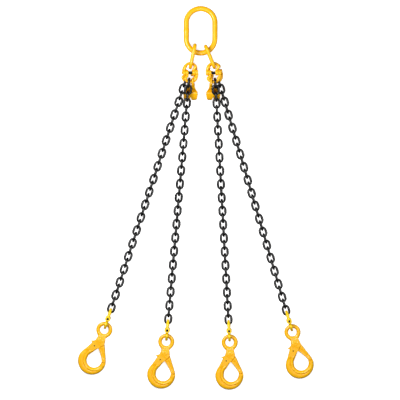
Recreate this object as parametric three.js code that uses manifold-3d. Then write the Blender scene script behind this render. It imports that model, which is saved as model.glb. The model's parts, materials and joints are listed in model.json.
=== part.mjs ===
// Four leg chain sling, laid out flat: an oblong master link, two sub-links, and four chain legs.
// Each leg has a hinged connecting link, a shortening grab hook, a 36-link chain, a second hinged
// connecting link and a self-locking hook. Millimetres, +Z up, +Y from the hooks to the master link.
import * as THREE from "three";
import { mergeVertices } from "three/addons/utils/BufferGeometryUtils.js";
import Module from "manifold-3d";

const wasm = await Module();
wasm.setup();

// ---------------------------------------------------------------- driving dimensions

const GAP = 0.4; // running clearance between pieces that touch

const MASTER = { barRadius: 12, halfWidth: 63, halfLength: 100 }; // to the middle of the bar
const MASTER_CENTRE = { x: -7.3, y: 158.5 };
const MASTER_BOTTOM_Z = 48; // middle of the bar that the sub-links hang on

const SUB_LINK = { barRadius: 8.25, halfWidth: 33.25, halfLength: 49.8, cornerRadius: 23.25 };
const SUB_LINK_DROP = 2.9; // the connecting links hang on its rounded corners, not at its very bottom
const SUB_LINK_LEAN = { left: -12, right: 22.4 };
const SUB_LINK_Z = 56;
const SUB_LINK_SPREAD = 104.2; // between the two sub-links' lower bars
const STACK_OFFSET = 13.5; // of each connecting link above or below a sub-link's middle

const CHAIN = {
  wire: 10,
  thickness: 8,
  pitch: 30,
  innerHalfWidth: 8,
  crownHalfWidth: 4.6,
  linksInSegment: 18,
  bite: 0.3, // neighbouring links of one segment grow into each other by this much
  hingeSlack: 1.4, // between the two segments, so that they can swing
};

const LINK = {
  barRadius: 6.25,
  bowRadius: 23.75, // to the middle of the bar
  halfLength: 42.5, // from the pin to the middle of the bow's bar
  lugRadius: 12,
  lugWidth: 12.2,
  sleeveLength: 17,
  sleeveRadius: 6.3,
  pinRadius: 5,
};
const LINK_TOP_BAR = SUB_LINK.barRadius + LINK.barRadius + GAP; // from bar to bar
const LINK_PIN_DROP = LINK.halfLength - LINK_TOP_BAR;
const LINK_BOTTOM_BAR = LINK_PIN_DROP + LINK.halfLength;

const GRAB = {
  eyeRadius: 12.4,
  eyeBar: 7.8,
  slotHalfWidth: 5.5,
  slotTop: 46, // these three are measured down from the eye's middle
  slotBottom: 68,
  length: 90,
  halfDepth: 14.5,
};

const HOOK = {
  eyeRadius: 18.5,
  eyeBar: 17.5,
  thickness: 28,
  bevel: 5,
  bowlCentre: { x: -1.5, y: -142 },
  bowlRadius: 33,
  backCentre: { x: -9.5, y: -147 },
  backRadius: 62.5,
  latchPin: { x: -1.5, y: -47, radius: 4 },
  triggerPin: { x: -19.5, y: -80, radius: 3 },
  latchThickness: 14,
  latchHeelRadius: 11.5,
  triggerThickness: 10,
};

// Every leg starts at the lower bar of one sub-link. The outer legs lie under the inner ones.
const UNDER = { level: -1, linkPitch: 1.5, grabPitch: 22.5 };
const OVER = { level: 1, linkPitch: -6.7, grabPitch: 28 };
const LEGS = [
  { name: "leg_1", side: -1, turn: -18.06, ...UNDER, linkShift: 1, linkYaw: 5 },
  { name: "leg_2", side: -1, turn: -4.96, ...OVER, linkShift: -1, linkYaw: 7.5 },
  { name: "leg_3", side: 1, turn: 3.17, ...OVER, linkShift: -3, linkYaw: -3 },
  { name: "leg_4", side: 1, turn: 16.37, ...UNDER, linkShift: -1, linkYaw: -5 },
];
const GRAB_SIDE = 16.6; // from the chain's line to the grab hook's eye, towards the other legs
const GRAB_YAW = 9;
const CHAIN_SIDE = 1.6; // from the leg's line to the first chain link, away from the grab hook
const GRAB_SLACK = { along: 0.05, down: 0.7 }; // where in its eye the bow's bar lies, as shares of the play
const UPPER_BOW_SLACK = 12 * GAP; // play of the first chain link on the upper connecting link's bow
const LOWER_BOW_SLACK = 5 * GAP; // play of the lower connecting link's bow in the last chain link
const HOOK_EYE_SLACK = 6 * GAP; // play of the lower connecting link's bow in the hook's eye
const CHAIN_SAG_Z = 18.6; // height of the chain's line where it comes down to the floor
const LOWER_LINK_Z = 37.9; // height of the lower connecting link's first bar
const HOOK_SLOPE = 4.2; // the lower connecting link and its hook slope down to the floor

const YELLOW = new THREE.MeshStandardMaterial({ color: 0xf7b50c, roughness: 0.35, metalness: 0.1 });
const BLACK = new THREE.MeshStandardMaterial({ color: 0x1c1d1f, roughness: 0.45, metalness: 0.6 });

// ---------------------------------------------------------------- solids and meshes

/** A closed three.js geometry as a manifold solid. Lids that lie back to back are dropped. */
function solidOf(geometry) {
  const bare = geometry.index ? geometry.toNonIndexed() : geometry.clone();
  bare.deleteAttribute("normal");
  bare.deleteAttribute("uv");
  const merged = mergeVertices(bare, 1e-3);
  const index = merged.index.array;
  const faces = new Map();
  for (let i = 0; i < index.length; i += 3) {
    const face = [index[i], index[i + 1], index[i + 2]];
    if (new Set(face).size < 3) continue;
    const key = [...face].sort((a, b) => a - b).join();
    if (faces.has(key)) faces.delete(key);
    else faces.set(key, face);
  }
  return new wasm.Manifold(
    new wasm.Mesh({
      numProp: 3,
      vertProperties: new Float32Array(merged.attributes.position.array),
      triVerts: new Uint32Array([...faces.values()].flat()),
    }),
  );
}

/** A named mesh of a manifold solid. */
function meshOf(name, solid, material) {
  const { numProp, vertProperties, triVerts } = solid.getMesh();
  const positions = new Float32Array((vertProperties.length / numProp) * 3);
  for (let i = 0; i < positions.length / 3; i += 1) {
    positions.set(vertProperties.subarray(i * numProp, i * numProp + 3), i * 3);
  }
  const geometry = new THREE.BufferGeometry();
  geometry.setAttribute("position", new THREE.BufferAttribute(positions, 3));
  geometry.setIndex(new THREE.BufferAttribute(new Uint32Array(triVerts), 1));
  geometry.computeVertexNormals();
  const mesh = new THREE.Mesh(geometry, material);
  mesh.name = name;
  return mesh;
}

function joined(solids) {
  return solids.reduce((whole, piece) => whole.add(piece));
}

function radians(degrees) {
  return THREE.MathUtils.degToRad(degrees);
}

/** A regular section of a bar, with flat sides facing up and down its Y. */
function barSection(radius, sides) {
  const corner = radius / Math.cos(Math.PI / sides);
  const points = [];
  for (let i = 0; i < sides; i += 1) {
    const angle = ((i + 0.5) / sides) * 2 * Math.PI + Math.PI / 2;
    points.push(new THREE.Vector2(corner * Math.cos(angle), corner * Math.sin(angle)));
  }
  return new THREE.Shape(points);
}

/** Angles and points round an oblong with rounded corners, anticlockwise from its right side. */
function oblong(halfWidth, halfLength, radius, cornerSteps) {
  const stations = [];
  for (let corner = 0; corner < 4; corner += 1) {
    const right = corner === 0 || corner === 3 ? 1 : -1;
    const up = corner < 2 ? 1 : -1;
    for (let step = 0; step <= cornerSteps; step += 1) {
      const angle = ((corner + step / cornerSteps) * Math.PI) / 2;
      const x = right * (halfWidth - radius) + radius * Math.cos(angle);
      const y = up * (halfLength - radius) + radius * Math.sin(angle);
      const last = stations[stations.length - 1];
      if (!last || Math.hypot(x - last.x, y - last.y) > 1e-6) stations.push({ x, y, angle });
    }
  }
  const [first] = stations;
  const last = stations[stations.length - 1];
  if (Math.hypot(first.x - last.x, first.y - last.y) < 1e-6) stations.pop();
  return stations;
}

/** The closed path of a bar bent to an oblong in the XY plane, one step from station to station. */
class OblongPath extends THREE.Curve {
  constructor(...oblongSizes) {
    super();
    this.stations = oblong(...oblongSizes);
  }

  stationAt(u) {
    const count = this.stations.length;
    return this.stations[Math.round(u * count) % count];
  }

  getPointAt(u, target = new THREE.Vector3()) {
    const { x, y } = this.stationAt(u);
    return target.set(x, y, 0);
  }

  getTangentAt(u, target = new THREE.Vector3()) {
    const { angle } = this.stationAt(u);
    return target.set(-Math.sin(angle), Math.cos(angle), 0);
  }
}

/** A closed ring of bar in the XY plane. */
function ring({ barRadius, halfWidth, halfLength, cornerRadius }, cornerSteps, sides) {
  const path = new OblongPath(halfWidth, halfLength, cornerRadius, cornerSteps);
  const steps = path.stations.length;
  const geometry = new THREE.ExtrudeGeometry(barSection(barRadius, sides), {
    steps,
    extrudePath: path,
  });
  return solidOf(geometry);
}

/** A round eye in the XY plane, of the given hole and bar width. */
function eye(holeRadius, barWidth) {
  const barRadius = barWidth / 2;
  const radius = holeRadius + barRadius;
  const sizes = { barRadius, halfWidth: radius, halfLength: radius, cornerRadius: radius };
  return ring(sizes, 3, 6);
}

/** A plate along Z, centred on the XY plane, from its outline and holes. */
function plate(outline, thickness, holes = []) {
  const shape = new THREE.Shape(outline);
  holes.forEach((hole) => shape.holes.push(new THREE.Path(hole)));
  const geometry = new THREE.ExtrudeGeometry(shape, { depth: thickness, bevelEnabled: false });
  return solidOf(geometry.translate(0, 0, -thickness / 2));
}

/** A plate with its edges bevelled inside its outline. */
function bevelledPlate(outline, thickness, bevel) {
  const geometry = new THREE.ExtrudeGeometry(new THREE.Shape(outline), {
    depth: thickness - 2 * bevel,
    bevelSize: bevel,
    bevelThickness: bevel,
    bevelOffset: -bevel,
    bevelSegments: 1,
  });
  return solidOf(geometry.translate(0, 0, bevel - thickness / 2));
}

function vectors(pairs) {
  return pairs.map(([x, y]) => new THREE.Vector2(x, y));
}

/** Points along an arc, from one angle to another in degrees. */
function arc({ x, y }, radius, from, to, steps) {
  const points = [];
  for (let i = 0; i <= steps; i += 1) {
    const angle = radians(from + ((to - from) * i) / steps);
    points.push([x + radius * Math.cos(angle), y + radius * Math.sin(angle)]);
  }
  return points;
}

/** A round pin along Z, centred on a point of the XY plane. */
function pinAlongZ(centre, radius, length, sides) {
  const geometry = new THREE.CylinderGeometry(radius, radius, length, sides);
  return solidOf(geometry.rotateX(Math.PI / 2).translate(centre.x, centre.y, 0));
}

// ---------------------------------------------------------------- master link and sub-links

function masterLink() {
  const sizes = { ...MASTER, cornerRadius: MASTER.halfWidth };
  const mesh = meshOf("master_link", ring(sizes, 5, 8), YELLOW);
  const topZ = MASTER.barRadius + GAP;
  mesh.position.set(MASTER_CENTRE.x, MASTER_CENTRE.y, (MASTER_BOTTOM_Z + topZ) / 2);
  mesh.rotation.x = -Math.asin((MASTER_BOTTOM_Z - topZ) / (2 * MASTER.halfLength));
  return mesh;
}

/** A sub-link standing on edge, its lower bar over the given point. */
function subLink(name, x, lean) {
  const standing = new THREE.Matrix4().makeRotationY(Math.PI / 2);
  standing.setPosition(0, SUB_LINK.halfLength - SUB_LINK_DROP, 0);
  const solid = ring(SUB_LINK, 3, 8).transform(standing.elements);
  const mesh = meshOf(name, solid, YELLOW);
  mesh.position.set(x, 0, SUB_LINK_Z);
  mesh.rotation.z = radians(lean);
  return mesh;
}

// ---------------------------------------------------------------- connecting links

const LUG_INNER = LINK.sleeveLength / 2 + GAP + LINK.lugWidth / 2; // middle of an inner lug
const LUG_OUTER = LUG_INNER + LINK.lugWidth + GAP;
const LINK_HOLE = LINK.pinRadius + 2 * GAP; // corners of the pin's eight-sided hole
const PIN_HALF_LENGTH = LUG_OUTER + LINK.lugWidth / 2;

/** One of the two alike halves: a bow with an outer lug on its left and an inner lug on its right. */
function linkHalf() {
  const bowCentre = { x: 0, y: LINK.halfLength - LINK.bowRadius };
  const spine = [
    [-LUG_OUTER, 0],
    [-LUG_OUTER - GAP, LINK.lugRadius + GAP],
    ...arc(bowCentre, LINK.bowRadius, 165, 15, 6),
    [LUG_INNER - GAP, LINK.lugRadius + GAP],
    [LUG_INNER, 0],
  ];
  const path = new THREE.CatmullRomCurve3(
    spine.map(([x, y]) => new THREE.Vector3(x, y, 0)),
    false,
    "centripetal",
  );
  const section = barSection(LINK.barRadius - 0.6 * GAP, 6);
  const bow = new THREE.ExtrudeGeometry(section, { steps: 10, extrudePath: path });
  const lug = (x) =>
    solidOf(
      new THREE.CylinderGeometry(LINK.lugRadius, LINK.lugRadius, LINK.lugWidth, 10)
        .rotateZ(Math.PI / 2)
        .translate(x, 0, 0),
    );
  const hole = new THREE.CylinderGeometry(LINK_HOLE, LINK_HOLE, 2 * PIN_HALF_LENGTH + 2, 8);
  hole.rotateZ(Math.PI / 2);
  return joined([solidOf(bow), lug(-LUG_OUTER), lug(LUG_INNER)]).subtract(solidOf(hole));
}

/** The pin of a connecting link with the sleeve on its middle, along X. */
function linkPin() {
  const { pinRadius, sleeveRadius, sleeveLength } = LINK;
  const profile = vectors([
    [0, -PIN_HALF_LENGTH],
    [pinRadius, -PIN_HALF_LENGTH],
    [pinRadius, -sleeveLength / 2],
    [sleeveRadius, -sleeveLength / 2],
    [sleeveRadius, sleeveLength / 2],
    [pinRadius, sleeveLength / 2],
    [pinRadius, PIN_HALF_LENGTH],
    [0, PIN_HALF_LENGTH],
  ]);
  return solidOf(new THREE.LatheGeometry(profile, 8).rotateZ(Math.PI / 2));
}

/** A connecting link about its pin: the top half with the pin, and the bottom half turned round. */
function connectingLink(name) {
  const group = new THREE.Group();
  const bottom = meshOf(`${name}_bottom_half`, LINK_HALF, YELLOW);
  bottom.rotation.z = Math.PI;
  group.add(
    meshOf(`${name}_top_half`, LINK_HALF, YELLOW),
    bottom,
    meshOf(`${name}_pin`, LINK_PIN, BLACK),
  );
  return group;
}

// ---------------------------------------------------------------- chain

/** One chain link in the XY plane, its length along Y. */
function chainLink() {
  const grow = CHAIN.bite / 2;
  const outer = {
    width: CHAIN.innerHalfWidth + CHAIN.wire + grow,
    length: CHAIN.pitch / 2 + CHAIN.wire + grow,
  };
  const inner = { width: CHAIN.innerHalfWidth - grow, length: CHAIN.pitch / 2 - grow };
  const outline = oblong(outer.width, outer.length, outer.width - CHAIN.crownHalfWidth, 1);
  const hole = [
    [inner.width, inner.length],
    [-inner.width, inner.length],
    [-inner.width, -inner.length],
    [inner.width, -inner.length],
  ];
  return plate(
    outline.map(({ x, y }) => new THREE.Vector2(x, y)),
    CHAIN.thickness,
    [vectors(hole)],
  );
}

/** A straight run of links down -Y. The first link's middle is at firstY, and every other one lies flat. */
function chainSegment(firstY) {
  const flat = chainLink();
  const onEdge = flat.transform(new THREE.Matrix4().makeRotationY(Math.PI / 2).elements);
  const links = [];
  for (let i = 0; i < CHAIN.linksInSegment; i += 1) {
    const link = i % 2 === 0 ? onEdge : flat;
    const place = new THREE.Matrix4().makeTranslation(0, firstY - i * CHAIN.pitch, 0);
    links.push(link.transform(place.elements));
  }
  return joined(links);
}

// ---------------------------------------------------------------- grab hook

/** A shortening grab hook about its eye, standing in the YZ plane and pointing down -Y. */
function grabHook() {
  const { eyeRadius, eyeBar, slotHalfWidth, slotTop, slotBottom, halfDepth, length } = GRAB;
  const profile = [
    [-6, 11],
    [-7, 28],
    [-halfDepth + 2, 39],
    [-halfDepth - 1, 52],
    [-13, 66],
    [-6, length - 5],
    [0, length],
    [6, length - 3],
    [11, length - 12],
    [halfDepth - 1.5, 62],
    [halfDepth - 1.5, slotTop + 4],
    [halfDepth - 5, slotTop],
    [slotHalfWidth, slotTop + 4],
    [slotHalfWidth, slotBottom - 4],
    [2, slotBottom],
    [-2, slotBottom],
    [-slotHalfWidth, slotBottom - 4],
    [-slotHalfWidth, slotTop],
    [0, 36],
    [5, 28],
    [6, 11],
  ];
  const front = [
    [7, 10],
    [8, 28],
    [11, 40],
    [15, 53],
    [18.5, 57],
    [16, 61],
    [15, 70],
    [12, length - 8],
    [3, length],
  ];
  const mirrored = front.slice().reverse();
  const frontOutline = [...front, ...mirrored.map(([x, drop]) => [-x, drop])];
  const sidePlate = plate(vectors(profile.map(([z, drop]) => [-z, -drop])).reverse(), length);
  const frontPlate = plate(vectors(frontOutline.map(([x, drop]) => [x, -drop])).reverse(), length);
  const standing = new THREE.Matrix4().makeRotationY(Math.PI / 2).elements;
  const body = sidePlate.transform(standing).intersect(frontPlate);
  return body.add(eye(eyeRadius, eyeBar).transform(standing));
}

// ---------------------------------------------------------------- self-locking hook

/** What a pin's hole takes out of the hook's body, its latch or its trigger. */
function pinHole(pin) {
  return pinAlongZ(pin, pin.radius + GAP, 2 * HOOK.thickness, 8);
}

/** The forged body about its eye, its bowl opening to the right, with the slots for latch and trigger. */
function hookBody() {
  const { bowlCentre, bowlRadius, backCentre, backRadius } = HOOK;
  const outline = [
    [-17, -22],
    [-19, -36],
    [-20.5, -45],
    [-29.5, -63],
    [-39.5, -79],
    [-51.5, -99],
    [-61.5, -112],
    ...arc(backCentre, backRadius, 158, 360, 9).slice(0, -1),
    [52.8, -147],
    [51.5, -136],
    [42, -140],
    [32, -138.5],
    ...arc(bowlCentre, bowlRadius, -2.5, -177.5, 7),
    [-26.5, -120],
    [-17, -108],
    [-6.5, -93],
    [0.5, -87],
    [21.5, -61],
    [19, -38],
    [17, -22],
  ];
  const latchSlot = [
    [-15, -34],
    [40, -34],
    [40, -75],
    [10, -100],
    [-3, -92],
    [-12, -75],
    [-15, -60],
  ];
  const triggerSlot = [
    [-14, -58],
    [-27, -52],
    [-60, -60],
    [-60, -108],
    [-37, -108],
    [-24, -96],
    [-8, -84],
    [-8, -70],
  ];
  const slotFor = (points, thickness) => plate(vectors(points), thickness + 2 * GAP);
  return bevelledPlate(vectors(outline), HOOK.thickness, HOOK.bevel)
    .add(eye(HOOK.eyeRadius, HOOK.eyeBar))
    .subtract(slotFor(latchSlot, HOOK.latchThickness))
    .subtract(slotFor(triggerSlot, HOOK.triggerThickness))
    .subtract(pinHole(HOOK.latchPin))
    .subtract(pinHole(HOOK.triggerPin));
}

/** The latch about its pin: a round heel, and an arm that closes the bowl down to the tip. */
function hookLatch() {
  const { latchPin } = HOOK;
  const outline = [
    ...arc(latchPin, HOOK.latchHeelRadius, 170, 40, 5),
    [17, -50],
    [22.5, -62],
    [34.5, -92],
    [46.5, -122],
    [50.5, -134.5],
    [41.5, -138.3],
    [32, -136.5],
    [27.5, -127],
    [18.5, -112],
    [10.5, -100],
    [0.5, -87],
    [-8, -72],
    [-12.5, -58],
  ];
  const solid = plate(vectors(outline), HOOK.latchThickness);
  return solid.subtract(pinHole(latchPin)).translate([-latchPin.x, -latchPin.y, 0]);
}

/** The trigger about its pin: a thumb spur above, a tail flush with the hook's back below. */
function hookTrigger() {
  const { triggerPin } = HOOK;
  const outline = [
    [-26, -57],
    [-38.5, -66],
    [-36, -75],
    [-49, -96],
    [-43, -103],
    [-33, -99],
    [-24, -90],
    [-15, -86],
    [-13.5, -76],
    [-19, -66],
  ];
  const solid = plate(vectors(outline).reverse(), HOOK.triggerThickness);
  return solid.subtract(pinHole(triggerPin)).translate([-triggerPin.x, -triggerPin.y, 0]);
}

/** A hook in the XY plane about its eye, pointing down -Y. */
function lockingHook(name) {
  const group = new THREE.Group();
  const add = (part, solid, material, at) => {
    const mesh = meshOf(`${name}_${part}`, solid, material);
    mesh.position.set(at.x, at.y, 0);
    group.add(mesh);
  };
  const eyeMiddle = { x: 0, y: 0 };
  const pinSolid = ({ radius }) => pinAlongZ(eyeMiddle, radius, HOOK.thickness - 1, 8);
  add("hook_body", HOOK_BODY, YELLOW, eyeMiddle);
  add("hook_latch", HOOK_LATCH, YELLOW, HOOK.latchPin);
  add("hook_latch_pin", pinSolid(HOOK.latchPin), YELLOW, HOOK.latchPin);
  add("hook_trigger", HOOK_TRIGGER, YELLOW, HOOK.triggerPin);
  add("hook_trigger_pin", pinSolid(HOOK.triggerPin), BLACK, HOOK.triggerPin);
  return group;
}

// ---------------------------------------------------------------- legs

const LINK_HALF = linkHalf();
const LINK_PIN = linkPin();
const GRAB_HOOK = grabHook();
const HOOK_BODY = hookBody();
const HOOK_LATCH = hookLatch();
const HOOK_TRIGGER = hookTrigger();

/** A group at a point, sloping down its own -Y by a number of degrees. */
function sloping(position, slope) {
  const group = new THREE.Group();
  group.position.copy(position);
  group.rotation.x = radians(slope);
  return group;
}

function leg({ name, side, turn, level, linkShift, linkYaw, linkPitch, grabPitch }) {
  const inward = -side;
  const startZ = SUB_LINK_Z + level * STACK_OFFSET;
  const line = new THREE.Group(); // the leg's own frame: down -Y from the sub-link's lower bar
  line.position.set((side * SUB_LINK_SPREAD) / 2, 0, startZ);
  line.rotation.z = radians(turn);

  const upperLink = new THREE.Group();
  upperLink.position.x = linkShift;
  upperLink.rotation.set(radians(linkPitch), 0, radians(linkYaw), "ZXY");
  const upperPin = connectingLink(`${name}_upper_link`);
  upperPin.position.y = -LINK_PIN_DROP;
  upperLink.add(upperPin);

  const barDrop = -Math.sin(radians(linkPitch)) * LINK_BOTTOM_BAR;
  const bow = {
    x: linkShift + Math.sin(radians(linkYaw)) * (LINK_BOTTOM_BAR - LINK.bowRadius),
    y: -Math.cos(radians(linkYaw)) * (LINK_BOTTOM_BAR - LINK.bowRadius),
  };
  const barYAt = (x) => bow.y - Math.sqrt(LINK.bowRadius ** 2 - (x - bow.x) ** 2);

  const grab = meshOf(`${name}_grab_hook`, GRAB_HOOK, YELLOW);
  const grabX = inward * GRAB_SIDE;
  const play = GRAB.eyeRadius - LINK.barRadius - GAP;
  const grabY = barYAt(grabX) - GRAB_SLACK.along * play;
  grab.position.set(grabX, grabY, barDrop - GRAB_SLACK.down * play);
  grab.rotation.set(radians(grabPitch), 0, radians(inward * GRAB_YAW), "ZXY");

  const firstLinkY = -(CHAIN.pitch / 2 - LINK.barRadius) + UPPER_BOW_SLACK;
  const segmentLength = CHAIN.pitch * CHAIN.linksInSegment;
  const upperRun = segmentLength - CHAIN.pitch / 2 - firstLinkY;
  const upperSlope = Math.asin((startZ + barDrop - CHAIN_SAG_Z) / upperRun);
  const upperChain = sloping(
    new THREE.Vector3(-inward * CHAIN_SIDE, barYAt(0), barDrop),
    THREE.MathUtils.radToDeg(upperSlope),
  );
  upperChain.add(meshOf(`${name}_chain_upper`, chainSegment(firstLinkY), BLACK));

  const lowerRun = segmentLength - LINK.barRadius - LOWER_BOW_SLACK;
  const rise = Math.asin((LOWER_LINK_Z - CHAIN_SAG_Z) / lowerRun);
  const lowerChain = sloping(
    new THREE.Vector3(0, -upperRun + CHAIN.hingeSlack, 0),
    THREE.MathUtils.radToDeg(-upperSlope - rise),
  );
  lowerChain.add(meshOf(`${name}_chain_lower`, chainSegment(-CHAIN.pitch / 2), BLACK));

  const lowerLink = sloping(
    new THREE.Vector3(0, -lowerRun, 0),
    HOOK_SLOPE + THREE.MathUtils.radToDeg(rise),
  );
  const lowerPin = connectingLink(`${name}_lower_link`);
  lowerPin.position.y = -LINK.halfLength;
  lowerPin.rotation.y = Math.PI / 2;
  const hook = lockingHook(name);
  hook.position.y = -2 * LINK.halfLength - (HOOK.eyeRadius - LINK.barRadius - HOOK_EYE_SLACK);
  lowerLink.add(lowerPin, hook);

  lowerChain.add(lowerLink);
  upperChain.add(lowerChain);
  line.add(upperLink, grab, upperChain);
  return line;
}

// ---------------------------------------------------------------- the sling

const layout = new THREE.Group();
layout.add(
  masterLink(),
  subLink("sub_link_left", -SUB_LINK_SPREAD / 2, SUB_LINK_LEAN.left),
  subLink("sub_link_right", SUB_LINK_SPREAD / 2, SUB_LINK_LEAN.right),
  ...LEGS.map(leg),
);

// The origin is the middle of the sling's footprint, on the floor.
layout.updateMatrixWorld(true);
const box = new THREE.Box3().setFromObject(layout, true);
const middle = box.getCenter(new THREE.Vector3());
layout.position.set(-middle.x, -middle.y, -box.min.z);

const sling = new THREE.Group();
sling.add(layout);

export default sling;
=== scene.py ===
"""Four leg chain sling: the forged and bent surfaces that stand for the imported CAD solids.

Every piece is built in millimetres in its own natural frame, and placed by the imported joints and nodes."""

import json
import math
import random

import bmesh
import bpy
import numpy as np
from mathutils import Matrix, Vector
from mathutils.geometry import delaunay_2d_cdt


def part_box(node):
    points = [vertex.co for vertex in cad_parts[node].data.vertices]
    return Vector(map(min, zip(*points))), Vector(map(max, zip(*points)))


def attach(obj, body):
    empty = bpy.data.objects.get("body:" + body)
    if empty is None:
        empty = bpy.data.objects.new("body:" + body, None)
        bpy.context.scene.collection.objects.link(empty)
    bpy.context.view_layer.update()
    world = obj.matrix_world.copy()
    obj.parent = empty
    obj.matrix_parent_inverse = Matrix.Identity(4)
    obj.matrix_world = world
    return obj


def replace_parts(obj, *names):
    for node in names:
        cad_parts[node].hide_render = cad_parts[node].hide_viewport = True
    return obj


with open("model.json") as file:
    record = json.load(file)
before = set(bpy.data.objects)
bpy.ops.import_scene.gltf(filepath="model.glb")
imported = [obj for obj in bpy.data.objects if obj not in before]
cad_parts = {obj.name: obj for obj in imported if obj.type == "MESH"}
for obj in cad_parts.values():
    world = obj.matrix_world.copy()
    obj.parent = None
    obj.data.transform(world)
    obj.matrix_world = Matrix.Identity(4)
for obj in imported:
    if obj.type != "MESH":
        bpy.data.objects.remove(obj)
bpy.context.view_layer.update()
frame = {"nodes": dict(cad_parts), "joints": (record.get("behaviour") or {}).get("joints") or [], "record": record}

# ------------------------------------------------------------------ driving dimensions, in millimetres

MM = 0.001

# Bar, wire, bow, lug, sleeve, pin and eye sizes are radii. A ring's width and length run to its bar's middle.
# A weld is a wide bead with a narrow notch in its top, each given as (height, width along the bar).
MASTER = {
    "bar": 11.95, "half_width": 63, "half_length": 100, "corner": 63,
    "bead": (1.3, 6), "notch": (0.5, 2),
}
SUB_LINK = {
    "bar": 8.2, "half_width": 33.25, "half_length": 49.8, "corner": 23.25,
    "bead": (0.9, 4.5), "notch": (0.35, 1.6),
}
CHAIN = {
    "wire": 4.98, "limb": 0.45,  # the straight limbs are thicker than the crowns by this much
    "half_width": 13, "half_length": 20, "bead": (0.45, 2.6),
    "pitch": 30, "links": 18,  # in each of a leg's two runs
    "slack": 1.4,  # play where the two runs meet
    "tilt": 2,  # degrees that a link may lean either way
}

LINK = {
    "bar": 6.1, "shoulder": 1.8, "shoulder_y": 25, "shoulder_spread": 6,
    "bow": 23.75, "length": 42.5, "lug": 11.9, "lug_width": 12.1, "lug_rounding": 1.6, "gap": 0.4,
}
SLEEVE = {"radius": 6.1, "length": 17, "pin": 4.95, "hole": 5.25}
LUG_INNER = SLEEVE["length"] / 2 + LINK["gap"] + LINK["lug_width"] / 2
LUG_OUTER = LUG_INNER + LINK["lug_width"] + LINK["gap"]

GRAB = {"eye": 16.3, "eye_bar": 3.85, "slot": 5.6, "slot_bottom": 68, "length": 90}

HOOK_EYE = {"hole": 18.5, "outer": 36}
BOWL = {"centre": (-1.5, -142), "radius": 33, "back_centre": (-9.5, -147), "back_radius": 62.4}
LATCH_PIN = (-1.5, -47)
TRIGGER_PIN = (-19.5, -80)
TIP_END = (42, -139)
SEAM = 55.1  # from the eye's middle to the fork's slanting edge, square to it
SEAM_OUT = np.array([0.77, -0.63])  # across that edge, towards the latch's arm, and about 1 long
SEAM_ALONG = np.array([0.63, 0.77])  # up that edge
HOOK_HALF_THICKNESS = 13.9
RIB_RADIUS = 47.5  # of the rib's outer edge about the bowl's centre
# How far each feature raises or lowers the hook's surface
RELIEF = {
    "rib": 0.7, "outside_rib": 3.0, "groove": 1.9, "end_ridge": 0.9,
    "tip": 1.2, "fork": 0.9, "boss": 0.9, "fork_edge": 0.8,
}
LATCH_SLOT, TRIGGER_SLOT = 7.4, 5.4  # half widths of the slots that they turn in
LATCH_HALF_THICKNESS = 6.9
LATCH_ARM_RISE = 5.2  # how much the latch's arm stands above its heel
LATCH_POCKET = 1.4  # depth of the shallow hollow down the arm
TRIGGER_HALF_THICKNESS = 3.4
LATCH_HOLE, TRIGGER_HOLE, FORK_HOLE = 4.1, 3.1, 3.05  # radii. The fork's hole is for the trigger's pin
DRILL_REACH = 20  # half length of the cutter for those holes
SPRING = {"coil": 4.4, "wire": 0.34, "turns": 1.6, "first_turn": -60, "clearance": 0.55, "rise": 0.75}

LEGS = (1, 2, 3, 4)
SEED = 11
SLIVER = 0.05  # the area in mm2 below which a triangle on a rim is left out
SPLIT_PASSES = 3  # of splitting larger triangles on a rim
CUT_EDGE = 40  # degrees above which an edge that was cut into a forging stays hard

# ------------------------------------------------------------------ places from the frame

joints = {j["name"]: j for j in frame["joints"]}
body_of = {n: b for b, nodes in frame["record"]["behaviour"]["bodies"].items() for n in nodes}


def point(joint):
    return Vector(joints[joint]["pos_m"])


def axis(joint):
    return Vector(joints[joint]["axis"]).normalized()


def placed(origin, x, y):
    """The matrix of a frame at origin, with its Y along y and its X as near to x as it can be."""
    y = y.normalized()
    z = x.cross(y).normalized()
    x = y.cross(z)
    matrix = Matrix((x, y, z)).transposed().to_4x4()
    matrix.translation = origin
    return matrix


def node_points(node):
    return np.array([v.co for v in frame["nodes"][node].data.vertices])


def long_axis(node):
    """The direction in which a node is longest, pointing to the master link's end."""
    points = node_points(node)
    direction = Vector(np.linalg.svd(points - points.mean(0), full_matrices=False)[2][0])
    return direction if direction.y > 0 else -direction


def middle(node):
    low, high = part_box(node)
    return (low + high) / 2


def master_place():
    return placed(middle("master_link"), Vector((1, 0, 0)), long_axis("master_link"))


def sub_link_place(node):
    """A sub-link stands on edge: its own X points up."""
    up = Vector((0, 0, 1))
    along = up.cross(axis(f"{node}_swing"))
    return placed(middle(node), up, along if along.y > 0 else -along)


def upper_link_place(leg):
    pin = point(f"{leg}_upper_link_fold")
    return placed(pin, axis(f"{leg}_upper_link_fold"), point(f"{leg}_swing") - pin)


def lower_link_place(leg):
    pin = point(f"{leg}_lower_link_fold")
    return placed(pin, -axis(f"{leg}_lower_link_fold"), pin - point(f"{leg}_hook_swing"))


def grab_place(leg):
    """From the eye's middle to the tip, which is the farthest point from it."""
    eye = point(f"{leg}_grab_hook_swing")
    points = node_points(f"{leg}_grab_hook")
    reach = np.linalg.norm(points - np.array(eye), axis=1)
    tip = Vector(points[reach > reach.max() - 0.05 * MM].mean(0))
    return placed(eye, axis(f"{leg}_grab_hook_swing"), eye - tip)


def upper_chain_place(leg):
    top = point(f"{leg}_chain_lift")
    return placed(top, axis(f"{leg}_chain_lift"), top - point(f"{leg}_chain_bend"))


def lower_chain_place(leg):
    top = point(f"{leg}_chain_bend")
    return placed(top, axis(f"{leg}_lower_link_lift"), top - point(f"{leg}_lower_link_lift"))


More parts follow.
